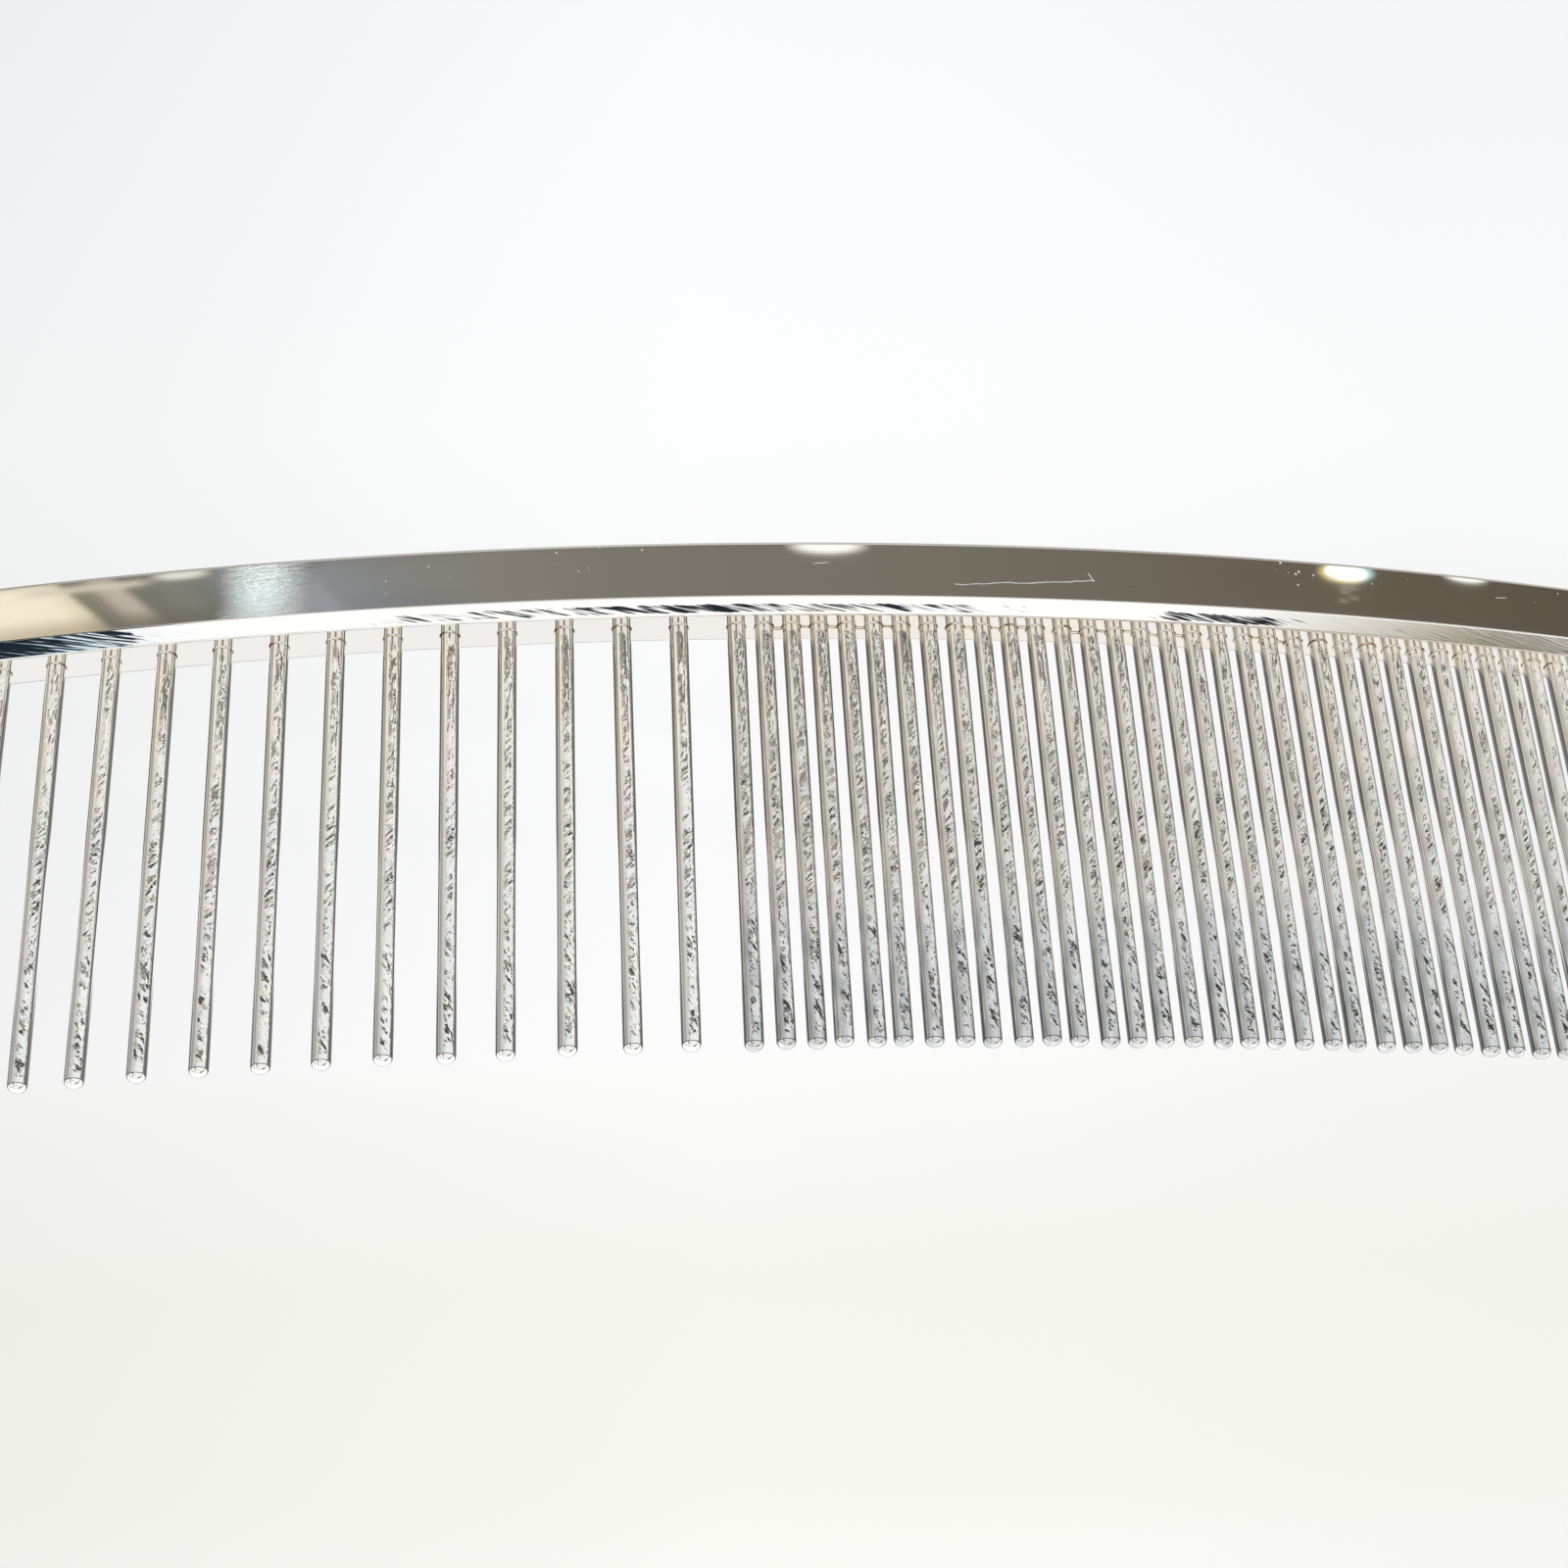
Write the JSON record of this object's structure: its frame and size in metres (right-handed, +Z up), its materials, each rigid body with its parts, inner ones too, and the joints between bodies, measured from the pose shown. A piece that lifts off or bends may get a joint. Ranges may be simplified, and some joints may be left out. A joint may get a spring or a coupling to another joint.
{
  "type": "grooming comb",
  "caption": "Arched metal grooming comb: a bent spine bar with round pins in blind holes, coarse at one half and fine at the other.",
  "frame": {"origin": "centre of the comb's footprint, on the surface it lies on: the lowest points of the two spine ends are at z = 0", "axes": "+X along the spine towards the fine pins, -Y the way the pins point, +Z up through the crown of the arch"},
  "size_m": [0.1862, 0.0352, 0.0221],
  "materials": {
    "plated_spine": "mirror polished plating over a bent brass bar",
    "plated_pin": "bright drawn steel wire with fine polishing marks",
    "solder": "dull solder with amber flux stain"
  },
  "bodies": {
    "root": {"coarse_pin_01": "plated_pin", "coarse_pin_02": "plated_pin", "coarse_pin_03": "plated_pin", "coarse_pin_04": "plated_pin", "coarse_pin_05": "plated_pin", "coarse_pin_06": "plated_pin", "coarse_pin_07": "plated_pin", "coarse_pin_08": "plated_pin", "coarse_pin_09": "plated_pin", "coarse_pin_10": "plated_pin", "coarse_pin_11": "plated_pin", "coarse_pin_12": "plated_pin", "coarse_pin_13": "plated_pin", "coarse_pin_14": "plated_pin", "coarse_pin_15": "plated_pin", "coarse_pin_16": "plated_pin", "coarse_pin_17": "plated_pin", "coarse_pin_18": "plated_pin", "coarse_pin_19": "plated_pin", "coarse_pin_20": "plated_pin", "coarse_pin_21": "plated_pin", "coarse_pin_22": "plated_pin", "coarse_pin_23": "plated_pin", "coarse_pin_24": "plated_pin", "coarse_solder_collars": "solder", "fine_pins_01_02": "plated_pin", "fine_pins_03_04": "plated_pin", "fine_pins_05_06": "plated_pin", "fine_pins_07_08": "plated_pin", "fine_pins_09_10": "plated_pin", "fine_pins_11_12": "plated_pin", "fine_pins_13_14": "plated_pin", "fine_pins_15_16": "plated_pin", "fine_pins_17_18": "plated_pin", "fine_pins_19_20": "plated_pin", "fine_pins_21_22": "plated_pin", "fine_pins_23_24": "plated_pin", "fine_pins_25_26": "plated_pin", "fine_pins_27_28": "plated_pin", "fine_pins_29_30": "plated_pin", "fine_pins_31_32": "plated_pin", "fine_pins_33_34": "plated_pin", "fine_pins_35_36": "plated_pin", "fine_pins_37_38": "plated_pin", "fine_pins_39_40": "plated_pin", "fine_pins_41_42": "plated_pin", "fine_pins_43_44": "plated_pin", "fine_pins_45_46": "plated_pin", "fine_pins_47_48": "plated_pin", "fine_solder_collars": "solder", "spine": "plated_spine"}
  },
  "joints": []
}
